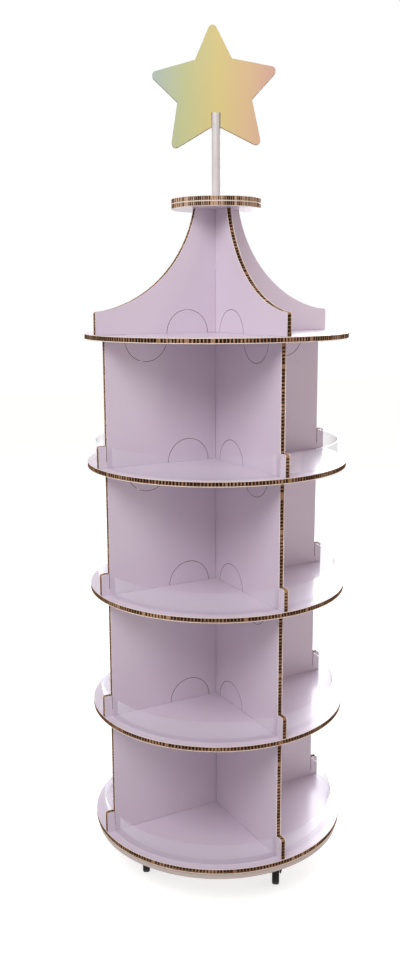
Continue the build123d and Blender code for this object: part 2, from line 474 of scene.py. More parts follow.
def mirrored(half):
    # half runs from the bottom middle out and round to the top middle
    other = [(-x, y) for x, y in reversed(half) if x > 1e-9]
    return half + other


dividerCut = {
    "wing": 233 * mm,
    "fingerRadius": 249.5 * mm,
    "fingerHeight": 41 * mm,
    "fingerCorner": 4 * mm,
    "fingerSteps": 8,
    "slitWidth": 1.4 * mm,
    "slitFloor": 12 * mm,
    "tongueStart": 22 * mm,
    "tongueRadius": 42.75 * mm,
    "tongueGap": 0.5 * mm,
    "tongueDrop": 7.25 * mm,
    "lapFit": 0.25 * mm,
}
tongueFar = dividerCut["tongueStart"] + 2 * dividerCut["tongueRadius"]
dropStart = tongueFar + dividerCut["tongueGap"]
dropCentre = dropStart + dividerCut["tongueRadius"]
dropEnd = dropStart + 2 * dividerCut["tongueRadius"]
scoopRadius = dividerCut["tongueRadius"] + dividerCut["tongueGap"]
lapHalf = boardThick / 2 + dividerCut["lapFit"]


def jigsawBottom(floor, middleHalf):
    low = floor - dividerCut["tongueDrop"]
    points = [(middleHalf, floor)]
    points += arcPoints((dropStart - scoopRadius, floor), scoopRadius, 180, 0)
    points += arcPoints((dropCentre, low), dividerCut["tongueRadius"], 180, 360)
    points += [(dropEnd, floor)]
    return points


def tabbedBottom(floor, middleHalf):
    return [(middleHalf, floor), (dropStart, floor), (dropStart, floor - boardThick),
            (dropEnd, floor - boardThick), (dropEnd, floor)]


def fingerEdge(floor):
    tip = floor + dividerCut["fingerHeight"]
    corner = dividerCut["fingerCorner"]
    centre = (dividerCut["fingerRadius"] - corner, tip - corner)
    edge = arcPoints(centre, corner, 0, 90, dividerCut["fingerSteps"])
    return [(dividerCut["fingerRadius"], floor)] + edge


def lipSlit(floor):
    wing = dividerCut["wing"]
    tip = floor + dividerCut["fingerHeight"]
    foot = floor + dividerCut["slitFloor"]
    far = wing + dividerCut["slitWidth"]
    return [(far, tip), (far, foot), (wing, foot)]


def jigsawTop(under, middleHalf):
    # walked from the outer edge back to the middle
    above = under + boardThick
    scoopCentre = above - dividerCut["tongueDrop"]
    cut = math.degrees(math.asin((under - scoopCentre) / scoopRadius))
    points = [(dividerCut["wing"], under)]
    points += arcPoints((dropCentre, scoopCentre), scoopRadius, cut, -180)
    points += arcPoints((dividerCut["tongueStart"] + dividerCut["tongueRadius"], above),
                        dividerCut["tongueRadius"], 0, 180)
    points += [(dividerCut["tongueStart"], under), (middleHalf, under)]
    return points


def dividerOutline(axis, floor, under, lowest):
    middle = (floor + under) / 2
    bottom = tabbedBottom if lowest else jigsawBottom
    if axis == "x":
        half = [(0, middle), (lapHalf, middle)] + bottom(floor, lapHalf)
        half += fingerEdge(floor) + lipSlit(floor) + jigsawTop(under, 0)
    else:
        half = bottom(floor, 0) + fingerEdge(floor) + lipSlit(floor)
        half += jigsawTop(under, lapHalf) + [(lapHalf, middle), (0, middle)]
    return mirrored(half)


skirtCut = {
    "neck": 46.2 * mm,
    "foot": 232 * mm,
    "footRise": 1.5 * mm,
    "middle": (109 * mm, 107.5 * mm),
    "tabInner": 20 * mm,
    "tabOuter": 40 * mm,
}


def skirtOutline(axis):
    floor = shelfTops[-1]
    top = capLow[0].z
    middle = (floor + top) / 2
    fingerTop = floor + dividerCut["fingerHeight"]
    sweep = arcThrough((skirtCut["foot"], fingerTop + skirtCut["footRise"]),
                       (skirtCut["middle"][0], floor + skirtCut["middle"][1]),
                       (skirtCut["neck"], top))
    tabTop = capLow[1].z
    tab = [(skirtCut["tabOuter"], top), (skirtCut["tabOuter"], tabTop),
           (skirtCut["tabInner"], tabTop), (skirtCut["tabInner"], top)]
    if axis == "x":
        half = [(0, middle), (lapHalf, middle)] + jigsawBottom(floor, lapHalf)
        half += fingerEdge(floor) + sweep + tab + [(0, top)]
    else:
        half = jigsawBottom(floor, 0) + fingerEdge(floor) + sweep + tab
        half += [(lapHalf, top), (lapHalf, middle), (0, middle)]
    return mirrored(half)


# how a piece of honeycomb board is made from its outline
boardMake = {
    "liner": 1.25 * mm,
    "linerRounding": 0.22 * mm,
    "roundingSteps": 1,
    "cellPitch": 6.3 * mm,
    "barShare": 0.36,
    "barSwing": 0.15,
    "barDrift": 0.37,
    "barJitter": 0.5,
    "closedShare": 0.05,
    "narrowest": 0.35,
    "inset": 0.3 * mm,
    "cellDepth": (3.6 * mm, 7.0 * mm),
    "wallLean": 0.7 * mm,
    "leanSwing": (-0.6, 1.4),
    "mouthPerLean": 4,
    "paper": 0.3 * mm,
    "cornerAngle": math.radians(28),
    "core": kraftCore,
}
# the cap is cut from a thinner sheet with a closer core
capMake = {
    **boardMake,
    "liner": 0.9 * mm,
    "cellPitch": 4.0 * mm,
    "barShare": 0.5,
    "barJitter": 0.8,
    "closedShare": 0.12,
    "cellDepth": (1.2 * mm, 3.4 * mm),
    "wallLean": 0.4 * mm,
    # the cap's core gets the painted-light kraft, lighter for the light from above
    "core": paintedLightCapKraft,
}
standing = {
    "x": Matrix(((1, 0, 0, 0), (0, 0, -1, 0), (0, 1, 0, 0), (0, 0, 0, 1))),
    "y": Matrix(((0, 0, 1, 0), (1, 0, 0, 0), (0, 1, 0, 0), (0, 0, 0, 1))),
}
# points closer than this are taken as one
weld = {"outline": 0.02 * mm, "liner": 0.002 * mm, "core": 0.01 * mm, "turned": 0.005 * mm}
# how squarely a liner's face looks outward (1) or inward (-1) to be its print or its inside;
# beside a joint it must look out more squarely to keep its print, and the rest of the rim there
# gets painted shade
facing = {"print": 0.3, "printInJointShade": 0.95, "inside": -0.9}
# the last slot holds painted shade, the dark cell kraft
printSlot, kraftSlot, rimSlot, paintedShadeSlot = range(4)


def loopArea(loop):
    return sum(a[0] * b[1] - b[0] * a[1] for a, b in zip(loop, loop[1:] + loop[:1])) / 2


def cleanLoop(loop):
    kept = []
    for point in loop:
        if not kept or math.dist(point, kept[-1]) > weld["outline"]:
            kept.append(point)
    if math.dist(kept[0], kept[-1]) <= weld["outline"]:
        kept.pop()
    return kept


def linerSheet(loops, thickness, rounding, roundingSteps):
    # a filled flat curve gives a sheet with holes and a softly rounded rim
    curve = bpy.data.curves.new("liner", "CURVE")
    curve.dimensions = "2D"
    curve.fill_mode = "BOTH"
    curve.extrude = thickness / 2 - rounding
    curve.bevel_depth = rounding
    curve.bevel_resolution = roundingSteps
    curve.offset = -rounding
    for loop in loops:
        spline = curve.splines.new("POLY")
        spline.points.add(len(loop) - 1)
        for point, (x, y) in zip(spline.points, loop):
            point.co = (x, y, 0, 1)
        spline.use_cyclic_u = True
    holder = bpy.data.objects.new("liner", curve)
    scene.collection.objects.link(holder)
    bpy.context.view_layer.update()
    sheet = bpy.data.meshes.new_from_object(
        holder.evaluated_get(bpy.context.evaluated_depsgraph_get()))
    bpy.data.objects.remove(holder)
    bpy.data.curves.remove(curve)
    return sheet


def splitRuns(loop, cornerAngle):
    # cut a closed loop at its sharp corners
    count = len(loop)
    corners = []
    for n in range(count):
        before = Vector(loop[n]) - Vector(loop[n - 1])
        after = Vector(loop[(n + 1) % count]) - Vector(loop[n])
        if abs(before.angle_signed(after)) > cornerAngle:
            corners.append(n)
    if not corners:
        return [loop + loop[:1]]
    runs = []
    for here, there in zip(corners, corners[1:] + [corners[0] + count]):
        runs.append([loop[n % count] for n in range(here, there + 1)])
    return runs


def alongRun(run, inward):
    # gives a function from distance and depth to a point of the plane, and the length
    lengths = [0.0]
    for a, b in zip(run, run[1:]):
        lengths.append(lengths[-1] + math.dist(a, b))

    def at(distance, depth):
        distance = min(max(distance, 0.0), lengths[-1])
        n = 0
        while n < len(run) - 2 and lengths[n + 1] < distance:
            n += 1
        a, b = Vector(run[n]), Vector(run[n + 1])
        way = (b - a).normalized()
        normal = Vector((-way.y, way.x)) * inward
        return a + way * (distance - lengths[n]) + normal * depth

    return at, lengths[-1]


def ribbonPoints(run, inward, chance, make):
    # one folded strip as (point, depth): flats near the cut, cells set back between
    at, length = alongRun(run, inward)
    inset = make["inset"]
    cells = round(length / make["cellPitch"])
    places = [(0, inset)]
    if cells:
        pitch = length / cells
        phase = chance.uniform(0, 2 * math.pi)
        halfBars = []
        for n in range(cells + 1):
            wave = math.sin(n * make["barDrift"] + phase)
            share = make["barShare"] + make["barSwing"] * wave
            share *= 1 + chance.uniform(-1, 1) * make["barJitter"]
            halfBars.append(pitch * share / 2)
    for n in range(cells):
        # some cells are crushed shut by the cutter, and the strip follows the cut there
        if chance.random() < make["closedShare"]:
            places.append(((n + 0.5) * pitch, inset))
            continue
        depth = chance.uniform(*make["cellDepth"])
        start = n * pitch + halfBars[n]
        end = (n + 1) * pitch - halfBars[n + 1]
        lean = min(make["wallLean"] * chance.uniform(*make["leanSwing"]),
                   (end - start) / make["mouthPerLean"])
        # walls that would meet inside a tight bend leave that cell shut too
        mouth = at(end, inset) - at(start, inset)
        back = at(end - lean, depth) - at(start + lean, depth)
        if back.dot(mouth) < make["narrowest"] * mouth.length_squared:
            places += [(start, inset), ((start + end) / 2, inset), (end, inset)]
            continue
        places += [(start, inset), (start + lean, depth), (end - lean, depth), (end, inset)]
    places.append((length, inset))
    return [(at(distance, depth), depth) for distance, depth in places]


def makeCore(loops, halfHeight, chance, make):
    core = bmesh.new()
    for loop in loops:
        isHole = loop is not loops[0]
        inward = 1 if (loopArea(loop) > 0) != isHole else -1
        for run in splitRuns(loop, make["cornerAngle"]):
            columns = []
            for point, depth in ribbonPoints(run, inward, chance, make):
                pair = [core.verts.new((point.x, point.y, side * halfHeight))
                        for side in (-1, 1)]
                columns.append((pair, depth))
            for (a, depthA), (b, depthB) in zip(columns, columns[1:]):
                face = core.faces.new((a[0], b[0], b[1], a[1]))
                isBar = max(depthA, depthB) <= make["inset"]
                # the walls and floors of the cells get painted shade, the darker cell kraft, for
                # the shade deep inside them
                face.material_index = kraftSlot if isBar else paintedShadeSlot
    bmesh.ops.remove_doubles(core, verts=core.verts, dist=weld["core"])
    bmesh.ops.solidify(core, geom=core.faces[:], thickness=make["paper"])
    return core


def linkMesh(name, whole, materials):
    # turns a finished bmesh into an object of the scene
    mesh = bpy.data.meshes.new(name)
    whole.to_mesh(mesh)
    whole.free()
    for material in materials:
        mesh.materials.append(material)
    thing = bpy.data.objects.new(name, mesh)
    scene.collection.objects.link(thing)
    return thing


def pourInto(whole, extra):
    # adds a finished bmesh to another
    mesh = bpy.data.meshes.new("extra")
    extra.to_mesh(mesh)
    extra.free()
    whole.from_mesh(mesh)
    bpy.data.meshes.remove(mesh)


def makeBoard(name, loops, place, thickness, seed, faceMaterial=lilacPrint, isShadedJoint=None,
              make=boardMake):
    # the joint test says where a cut edge faces another board; there the edge gets painted
    # shade, the dark cell kraft, for the shade in the joint
    loops = [cleanLoop(loop) for loop in loops]
    liner = make["liner"]
    sheet = linerSheet(loops, liner, make["linerRounding"], make["roundingSteps"])
    whole = bmesh.new()
    for side in (-1, 1):
        start = len(whole.faces)
        whole.from_mesh(sheet)
        whole.faces.ensure_lookup_table()
        lift = side * (thickness - liner) / 2
        fresh = whole.faces[start:]
        for vertex in {v for face in fresh for v in face.verts}:
            vertex.co.z += lift
        for face in fresh:
            face.normal_update()
            outward = face.normal.z * side
            middle = face.calc_center_median()
            inJointShade = isShadedJoint is not None and isShadedJoint(middle.x, middle.y)
            if outward > facing["printInJointShade" if inJointShade else "print"]:
                face.material_index = printSlot
            elif outward < facing["inside"]:
                face.material_index = kraftSlot
            else:
                # a cut rim beside a joint gets painted shade, the dark cell kraft, instead of
                # its pale pulp
                face.material_index = paintedShadeSlot if inJointShade else rimSlot
    bmesh.ops.remove_doubles(whole, verts=whole.verts, dist=weld["liner"])
    bpy.data.meshes.remove(sheet)
    pourInto(whole, makeCore(loops, thickness / 2 - liner, random.Random(seed), make))
    whole.transform(place)
    # in the order of the print, kraft and rim slots, then the painted-shade slot
    return linkMesh(name, whole, (faceMaterial, make["core"], linerRim, paintedShadeKraft))


def fitBoard(board, node):
    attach(board, "stand")
    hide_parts(node)


# how far round a joint the cut edges get painted shade, the dark cell kraft
jointShadeReach = {"slot": 2 * mm, "tongue": 1 * mm}


def inSlotShade(x, y):
    return math.hypot(x, y) < dropEnd + jointShadeReach["slot"]


def inTongueShade(x, y):
    shelfGaps = [abs(y - top) for top in shelfTops]
    shelfGaps += [abs(y - top + boardThick) for top in shelfTops]
    return abs(x) < dropEnd + jointShadeReach["tongue"] or min(shelfGaps) < jointShadeReach["tongue"]


def inSkirtTongueShade(x, y):
    low = y < shelfTops[-1] + scoopRadius + jointShadeReach["tongue"]
    return (low and inTongueShade(x, y)) or abs(x) < boardThick


boardSeeds = {"shelf": 10, "divider": 20, "skirt": 40, "star": 50, "cap": 14}
shelfSteps = 200

# shelves and base
for number, node in enumerate(shelfNodes):
    slotFrom = dropStart if number == 0 else dividerCut["tongueStart"]
    fit = dividerCut["lapFit"]
    loops = [circleLoop(shelfRadius, shelfSteps)]
    loops += radialSlots(slotFrom - fit, dropEnd + fit, boardThick + 2 * fit)
    place = Matrix.Translation((0, 0, shelfTops[number] - boardThick / 2))
    board = makeBoard(f"{node}_board", loops, place, boardThick, boardSeeds["shelf"] + number,
                      isShadedJoint=inSlotShade)
    fitBoard(board, node)
print("stage: shelves done")

# crossed dividers of each tier
for number in range(tierCount):
    floor = shelfTops[number]
    under = shelfTops[number + 1] - boardThick
    for axis in ("x", "y"):
        node = f"tier_{number + 1}_divider_{axis}"
        outline = dividerOutline(axis, floor, under, number == 0)
        seed = boardSeeds["divider"] + 2 * number + (axis == "y")
        board = makeBoard(f"{node}_board", [outline], standing[axis], boardThick, seed,
                          isShadedJoint=inTongueShade)
        fitBoard(board, node)
print("stage: dividers done")

# gable boards
for axis in ("x", "y"):
    node = f"skirt_panel_{axis}"
    board = makeBoard(f"{node}_board", [skirtOutline(axis)], standing[axis], boardThick,
                      boardSeeds["skirt"] + (axis == "y"), isShadedJoint=inSkirtTongueShade)
    fitBoard(board, node)

# two discs of the cap
capCut = {"poleHole": 8.25 * mm, "discSteps": 120, "holeSteps": 40}
capBoard = capLow[1].z - capLow[0].z
tabSlots = radialSlots(skirtCut["tabInner"] - dividerCut["lapFit"],
                       skirtCut["tabOuter"] + dividerCut["lapFit"],
                       boardThick + 2 * dividerCut["lapFit"])
for node, box, cuts in (("cap_lower_disc", capLow, tabSlots), ("cap_upper_disc", capHigh, [])):
    loops = [circleLoop(capLow[1].x, capCut["discSteps"]),
             circleLoop(capCut["poleHole"], capCut["holeSteps"])] + cuts
    place = Matrix.Translation((0, 0, (box[0].z + box[1].z) / 2))
    board = makeBoard(f"{node}_board", loops, place, capBoard, boardSeeds["cap"], make=capMake)
    fitBoard(board, node)
print("stage: gable and cap done")


starCut = {
    "centre": 435.5 * mm,
    "half": [(0, 121), (33.5, 52.5), (120, 33), (68, -19), (84.5, -105), (0, -60)],
    "tipsBeyond": 100 * mm,
    "tipRounding": 8 * mm,
    "shift": -3 * mm,
    "lean": math.radians(1.7),
    "slotHalf": 8.1 * mm,
    "slotTop": -39.5 * mm,
}


def roundedCorner(before, corner, after, radius, steps=10):
    # an arc that meets both sides of the corner
    a = (Vector(before) - Vector(corner)).normalized()
    b = (Vector(after) - Vector(corner)).normalized()
    halfAngle = a.angle(b) / 2
    reach = radius / math.tan(halfAngle)
    centre = Vector(corner) + (a + b).normalized() * radius / math.sin(halfAngle)
    first = Vector(corner) + a * reach - centre
    turn = first.angle_signed(Vector(corner) + b * reach - centre)
    points = []
    for n in range(steps + 1):
        spin = Matrix.Rotation(-turn * n / steps, 2)
        points.append(tuple(centre + spin @ first))
    return points


def starOutline():
    half = [(x * mm, y * mm) for x, y in starCut["half"]]
    corners = half + [(-x, y) for x, y in reversed(half[1:-1])]
    lean = Matrix.Rotation(starCut["lean"], 2)
    shift = Vector((starCut["shift"], 0))

    def hung(point):
        return tuple(lean @ Vector(point) + shift)

    outline = []
    count = len(corners)
    slot = starCut["slotHalf"]
    for n, corner in enumerate(corners):
        if n == len(half) - 1:
            # the notch between the legs opens into the slot for the pole
            notch = hung(corner)
            for side, leg in ((slot, hung(corners[n - 1])), (-slot, hung(corners[n + 1]))):
                slope = (leg[1] - notch[1]) / (leg[0] - notch[0])
                rise = notch[1] + (side - notch[0]) * slope
                ends = [(side, rise), (side, starCut["slotTop"])]
                outline += ends if side > 0 else ends[::-1]
        elif math.hypot(*corner) > starCut["tipsBeyond"]:
            tip = roundedCorner(corners[n - 1], corner, corners[(n + 1) % count],
                                starCut["tipRounding"])
            outline += [hung(point) for point in tip]
        else:
            outline.append(hung(corner))
    return outline


starPlace = Matrix.Translation((0, 0, shelfTops[-1] + starCut["centre"]))
starPlace = starPlace @ Matrix.Rotation(starLooks["turn"], 4, "Z") @ standing["x"]
star = makeBoard("star_board_face", [starOutline()], starPlace, boardThick,
                 boardSeeds["star"], starPrint)
fitBoard(star, "star_board")


smoothAngle = math.radians(35)


def finishPiece(name, whole, material, body, node):
    bmesh.ops.recalc_face_normals(whole, faces=whole.faces)
    piece = linkMesh(name, whole, [material])
    piece.data.shade_smooth()
    piece.data.set_sharp_from_angle(angle=smoothAngle)
    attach(piece, body)
    if node:
        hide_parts(node)


def spunRings(whole, profile, place, steps):
    # copies of a profile of (radius, height), set round the local Z
    rings = []
    for n in range(steps):
        angle = 2 * math.pi * n / steps
        rings.append([whole.verts.new(place @ Vector((r * math.cos(angle),
                                                      r * math.sin(angle), z)))
                      for r, z in profile])
    return rings


def turned(profile, place, steps):
    # a closed profile spun into a solid
    whole = bmesh.new()
    rings = spunRings(whole, profile, place, steps)
    for a, b in zip(rings, rings[1:] + rings[:1]):
        for n in range(len(profile)):
            m = (n + 1) % len(profile)
            whole.faces.new((a[n], b[n], b[m], a[m]))
    bmesh.ops.remove_doubles(whole, verts=whole.verts, dist=weld["turned"])
    return whole


plinthMake = {
    "edgeRounding": 1.2 * mm,
    "roundingSteps": 5,
    "steps": 200,
}


def makePlinth():
    low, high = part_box("timber_plinth")
    soft = plinthMake["edgeRounding"]
    edge = []
    for height, start in ((low.z + soft, -90), (high.z - soft, 0)):
        edge += arcPoints((high.x - soft, height), soft, start, start + 90,
                          plinthMake["roundingSteps"])
    whole = bmesh.new()
    bottom = whole.verts.new((0, 0, low.z))
    top = whole.verts.new((0, 0, high.z))
    rings = spunRings(whole, edge, Matrix.Identity(4), plinthMake["steps"])
    for a, b in zip(rings, rings[1:] + rings[:1]):
        whole.faces.new((bottom, b[0], a[0]))
        whole.faces.new((top, a[-1], b[-1]))
        for n in range(len(edge) - 1):
            whole.faces.new((a[n], b[n], b[n + 1], a[n + 1]))
    finishPiece("plinth_disc", whole, paintedTimber, "stand", "timber_plinth")


makePlinth()

lipMake = {
    "radius": 233.3 * mm,
    "thickness": 0.8 * mm,
    "height": 40 * mm,
    "notchWidth": 11 * mm,
    "notchHeight": 12.25 * mm,
    "endGap": 0.5 * mm,
    "steps": 32,
}


def makeLip(number):
    # a strip bent round the tier, notched over each divider
    floor = shelfTops[number]
    thickness = lipMake["thickness"]
    radius = lipMake["radius"] + thickness / 2
    notch = math.degrees(lipMake["notchWidth"] / 2 / radius)
    gap = math.degrees(lipMake["endGap"] / 2 / radius)
    angles = [90 + gap]
    for quarter in range(4):
        base = 90 + 90 * quarter
        angles.append(base + notch)
        for n in range(1, lipMake["steps"]):
            angles.append(base + notch + (90 - 2 * notch) * n / lipMake["steps"])
        angles.append(base + 90 - notch)
    angles.append(450 - gap)
    whole = bmesh.new()
    heights = (0, lipMake["notchHeight"], lipMake["height"])
    columns = []
    for angle in angles:
        turn = math.radians(angle)
        columns.append([whole.verts.new((radius * math.cos(turn), radius * math.sin(turn),
                                         floor + height)) for height in heights])
    for (angle, a), (nextAngle, b) in zip(zip(angles, columns),
                                          zip(angles[1:], columns[1:])):
        whole.faces.new((a[1], b[1], b[2], a[2]))
        middle = (angle + nextAngle) / 2 % 90
        if min(middle, 90 - middle) > notch:
            whole.faces.new((a[0], b[0], b[1], a[1]))
    loose = [v for v in whole.verts if not v.link_faces]
    bmesh.ops.delete(whole, geom=loose, context="VERTS")
    bmesh.ops.recalc_face_normals(whole, faces=whole.faces)
    # drawn at the middle of the sheet, and thickened outward from its inner face
    for vertex in whole.verts:
        vertex.co.x *= (radius - thickness / 2) / radius
        vertex.co.y *= (radius - thickness / 2) / radius
    bmesh.ops.solidify(whole, geom=whole.faces[:], thickness=-thickness)
    node = f"tier_{number + 1}_lip"
    finishPiece(f"{node}_strip", whole, clearPlastic, "stand", node)


for number in range(tierCount):
    makeLip(number)


poleMake = {
    "wall": 2 * mm,
    "rounding": 0.4 * mm,
    "roundingSteps": 3,
    "steps": 40,
}


def makePole():
    low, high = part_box("sign_pole")
    outer = high.x
    inner = outer - poleMake["wall"]
    soft = poleMake["rounding"]
    profile = [(inner, low.z), (outer, low.z)]
    profile += arcPoints((outer - soft, high.z - soft), soft, 0, 90, poleMake["roundingSteps"])
    profile += [(inner, high.z)]
    whole = turned(profile, Matrix.Identity(4), poleMake["steps"])
    finishPiece("pole_tube", whole, polePlastic, "stand", "sign_pole")


makePole()
print("stage: star, plinth, lips and pole done")


# heights are above the floor, and a leg's edges are measured along the trail
castorMake = {
    "wheelRadius": 25 * mm,
    "wheelWidth": 14 * mm,
    "treadRounding": 4 * mm,
    "treadSteps": 6,
    "wheelSteps": 72,
    "bore": 3.05 * mm,
    "hubRadius": 7.5 * mm,
    "rimInner": 17.5 * mm,
    "dish": 2.6 * mm,
    "dishSlope": 0.6 * mm,
    "plateHalf": 20 * mm,
    "plateCorner": 5 * mm,
    "plateRounding": 0.3 * mm,
    "plateSteps": 5,
    "plate": (68 * mm, 70 * mm),
    "crown": (60.7 * mm, 67.7 * mm),
    "crownRadius": 14 * mm,
    "crownRounding": 1.4 * mm,
    "crownRoundingSteps": 5,
    "crownSteps": 40,
    "pinRadius": 3 * mm,
    "pinDrop": 0.3 * mm,
    "pinSteps": 24,
    "pinHead": (5.5 * mm, 1.8 * mm),
    "pinHeadSteps": 28,
    "axleHead": (3.6 * mm, 1.0 * mm),
    "axleHeadSunk": 0.1 * mm,
    "legInside": 8.3 * mm,
    "legOutside": 10.3 * mm,
    "legFlare": 3.2 * mm,
    "flareFrom": 19 * mm,
    "flareTo": 38 * mm,
    "legTop": (-6.4 * mm, 17.4 * mm, 64.2 * mm),
    "legEnd": 5 * mm,
    "legEndAngles": range(8, 90, 12),
    "legLevels": 12,
    "legRounding": 0.7 * mm,
    "legRoundingSteps": 4,
    "widthPerRounding": 2.5,
    "screwAt": 15 * mm,
    "screwHead": (3.2 * mm, 1.7 * mm),
    "headSteps": 20,
    "headRise": math.radians(80),
    "headRiseSteps": 7,
}
hair = 0.02 * mm


def wheelProfile():
    # from the bore out over one face, round the tread and back
    half = castorMake["wheelWidth"] / 2
    soft = castorMake["treadRounding"]
    slope = castorMake["dishSlope"]
    hub, rim = castorMake["hubRadius"], castorMake["rimInner"]
    dished = half - castorMake["dish"]
    side = [(castorMake["bore"], half), (hub - slope, half), (hub, half - slope),
            (hub + slope, dished), (rim - slope, dished), (rim, half - slope),
            (rim + slope, half)]
    side += arcPoints((castorMake["wheelRadius"] - soft, half - soft), soft, 90, 0,
                      castorMake["treadSteps"])
    return side + [(r, -z) for r, z in reversed(side)]


def domeProfile(head, base):
    # a low round head that hangs down from its base; the middle is left open a hair
    radius, height = head
    steps = castorMake["headRiseSteps"]
    points = [(hair, base), (radius, base)]
    for n in range(1, steps + 1):
        angle = castorMake["headRise"] * n / steps
        points.append((max(radius * math.cos(angle), hair), base - height * math.sin(angle)))
    points.append((hair, base - height))
    return points


def addLoft(whole, place, sections):
    # skins closed loops of equal length and caps both ends
    rings = [[whole.verts.new(place @ Vector(point)) for point in section]
             for section in sections]
    count = len(rings[0])
    for a, b in zip(rings, rings[1:]):
        for n in range(count):
            m = (n + 1) % count
            whole.faces.new((a[n], a[m], b[m], b[n]))
    whole.faces.new(rings[0][::-1])
    whole.faces.new(rings[-1])


def legSections(wheelCentre, side):
    # level cuts through one leg, from its round end up to the crown
    front, back, top = castorMake["legTop"]
    end = castorMake["legEnd"]
    centreX, centreZ = wheelCentre

    def tangent(corner, sign):
        # where a line from the corner touches the round end
        dx, dz = corner[0] - centreX, corner[1] - centreZ
        reach = math.hypot(dx, dz)
        angle = math.atan2(dz, dx) + sign * math.acos(end / reach)
        return centreX + end * math.cos(angle), centreZ + end * math.sin(angle)

    frontEdge = [tangent((front, top), 1), (front, top)]
    backEdge = [tangent((back, top), -1), (back, top)]

    def edgeAt(edge, height, sign):
        (x0, z0), (x1, z1) = edge
        if height >= z0:
            return x0 + (x1 - x0) * (height - z0) / (z1 - z0)
        return centreX + sign * math.sqrt(max(end**2 - (height - centreZ) ** 2, 0))

    steps = castorMake["legLevels"]
    levels = [centreZ - end * math.cos(math.radians(angle))
              for angle in castorMake["legEndAngles"]]
    levels += [centreZ + (top - centreZ) * n / steps for n in range(steps + 1)]
    flareFrom, flareTo = castorMake["flareFrom"], castorMake["flareTo"]
    inside = castorMake["legInside"]
    sections = []
    for height in levels:
        left, right = edgeAt(frontEdge, height, -1), edgeAt(backEdge, height, 1)
        # the flare eases in and out
        share = min(max((height - flareFrom) / (flareTo - flareFrom), 0), 1)
        outside = castorMake["legOutside"] + castorMake["legFlare"] * share**2 * (3 - 2 * share)
        soft = min(castorMake["legRounding"], (right - left) / castorMake["widthPerRounding"])
        loop = [(left, inside), (right, inside)]
        for x, start in ((right - soft, 0), (left + soft, 90)):
            loop += arcPoints((x, outside - soft), soft, start, start + 90,
                              castorMake["legRoundingSteps"])
        sections.append([(x, side * y, height) for x, y in loop])
    return sections


def makeFork(place, frameAt, wheelCentre, axle):
    whole = bmesh.new()
    low, high = castorMake["crown"]
    soft = castorMake["crownRounding"]
    edge = castorMake["crownRadius"] - soft
    bore = castorMake["bore"]
    steps = castorMake["crownRoundingSteps"]
    profile = [(bore, low)] + arcPoints((edge, low + soft), soft, -90, 0, steps)
    profile += arcPoints((edge, high - soft), soft, 0, 90, steps) + [(bore, high)]
    pourInto(whole, turned(profile, frameAt, castorMake["crownSteps"]))
    for side in (-1, 1):
        addLoft(whole, frameAt, legSections(wheelCentre, side))
        # the end of the axle is spread to a low head on each leg
        reach = castorMake["legOutside"] - castorMake["axleHeadSunk"]
        head = axle @ Matrix.Translation((0, 0, side * reach))
        flip = Matrix.Rotation(math.pi if side > 0 else 0, 4, "X")
        pourInto(whole, turned(domeProfile(castorMake["axleHead"], 0), head @ flip,
                               castorMake["headSteps"]))
    finishPiece(f"fork_moulding_{place}", whole, castorBlack, f"swivel_{place}",
                f"castor_fork_{place}")


def fourCorners(reach):
    return [(reach, reach), (-reach, reach), (-reach, -reach), (reach, -reach)]


def makePlate(place, frameAt):
    whole = bmesh.new()
    corner = castorMake["plateCorner"]
    low, high = castorMake["plate"]
    soft = castorMake["plateRounding"]

    def plateLoop(inset, height):
        loop = []
        for n, centre in enumerate(fourCorners(castorMake["plateHalf"] - corner)):
            loop += arcPoints(centre, corner - inset, 90 * n, 90 * n + 90,
                              castorMake["plateSteps"])
        return [(x, y, height) for x, y in loop]

    addLoft(whole, frameAt, [plateLoop(soft, low), plateLoop(0, low + soft),
                             plateLoop(0, high - soft), plateLoop(soft, high)])
    pinLow = castorMake["crown"][0] - castorMake["pinDrop"]
    pinRadius = castorMake["pinRadius"]
    pin = [(hair, pinLow), (pinRadius, pinLow), (pinRadius, low + soft), (hair, low + soft)]
    pourInto(whole, turned(pin, frameAt, castorMake["pinSteps"]))
    pourInto(whole, turned(domeProfile(castorMake["pinHead"], pinLow), frameAt,
                           castorMake["pinHeadSteps"]))
    finishPiece(f"plate_pressing_{place}", whole, castorSteel, "stand",
                f"castor_plate_{place}")


def makeScrews(place, frameAt):
    # four round heads that hold the plate up to the timber
    whole = bmesh.new()
    profile = domeProfile(castorMake["screwHead"], castorMake["plate"][0])
    for x, y in fourCorners(castorMake["screwAt"]):
        seat = frameAt @ Matrix.Translation((x, y, 0))
        pourInto(whole, turned(profile, seat, castorMake["headSteps"]))
    finishPiece(f"plate_screws_{place}", whole, castorSteel, "stand", None)


jointOf = {joint["name"]: joint for joint in frame["joints"]}
for place in castorPlaces:
    swivel = Vector(jointOf[f"swivel_{place}"]["pos_m"])
    centre = Vector(jointOf[f"wheel_{place}"]["pos_m"])
    spinAxis = Vector(jointOf[f"wheel_{place}"]["axis"])
    axle = Matrix.Translation(centre) @ spinAxis.to_track_quat("Z", "Y").to_matrix().to_4x4()
    # the castor's own frame stands under the swivel, with X along the trail
    trail = Vector((centre.x - swivel.x, centre.y - swivel.y, 0))
    across = Vector((0, 0, 1)).cross(trail.normalized())
    frameAt = Matrix.Translation((swivel.x, swivel.y, 0)) @ Matrix(
        (trail.normalized(), across, (0, 0, 1))).transposed().to_4x4()
    whole = turned(wheelProfile(), axle, castorMake["wheelSteps"])
    finishPiece(f"wheel_tyre_{place}", whole, castorRubber, f"wheel_{place}",
                f"castor_wheel_{place}")
    makeFork(place, frameAt, (trail.length, centre.z), axle)
    makePlate(place, frameAt)
    makeScrews(place, frameAt)
    pin = frame["nodes"][f"castor_axle_{place}"]
    pin.data.materials.clear()
    pin.data.materials.append(castorSteel)
print("stage: castors done")


